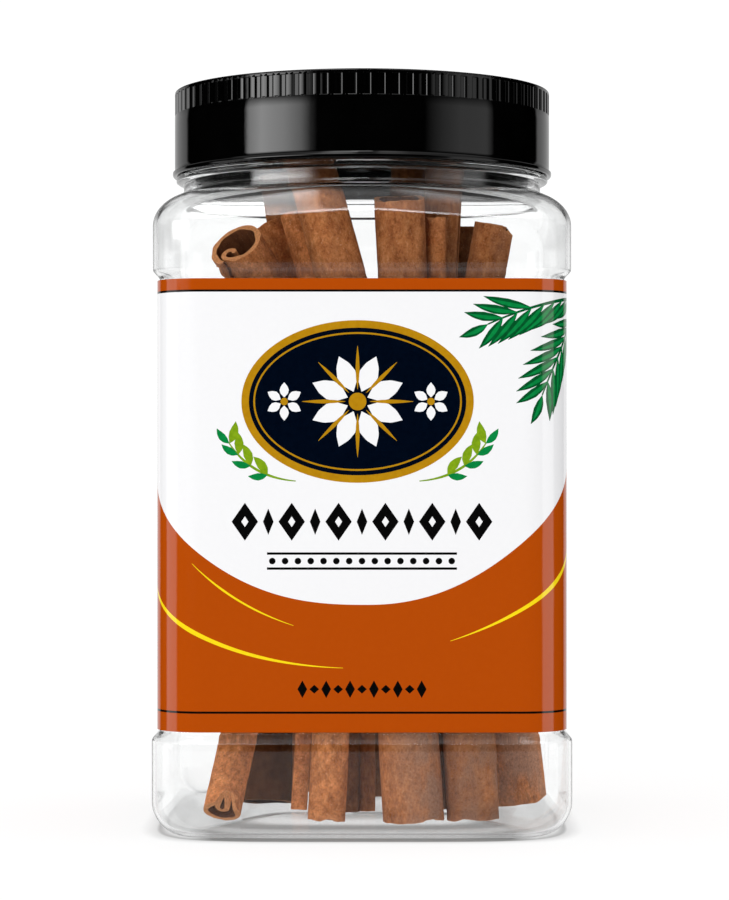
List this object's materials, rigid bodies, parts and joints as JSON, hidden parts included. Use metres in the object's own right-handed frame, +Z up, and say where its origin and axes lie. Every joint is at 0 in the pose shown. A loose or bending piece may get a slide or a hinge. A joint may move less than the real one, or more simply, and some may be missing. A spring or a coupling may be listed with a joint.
{
  "type": "jar of cinnamon sticks",
  "caption": "Clear square plastic jar with a black ribbed screw lid and a wrap-around label, filled with loose upright cinnamon quills that show above and below the label.",
  "frame": {"origin": "middle of the jar's standing plane", "axes": "+Z up along the jar's axis to the lid; the front of the label faces -Y; +X is to the right seen from the front"},
  "size_m": [0.0966, 0.0966, 0.1752],
  "materials": {
    "jar": "clear blown plastic, glossy, colourless",
    "label": "printed film in orange-brown and white with thin black lines, slightly glossy",
    "cap": "black moulded plastic, semi-gloss, with fine vertical ribs along the top edge",
    "cinnamon": "dry rolled bark, matt, streaked along the stick, darker inside"
  },
  "bodies": {
    "root": {"jar": "jar", "label": "label", "cap": "cap", "cinnamon_sticks": "cinnamon"}
  },
  "joints": []
}
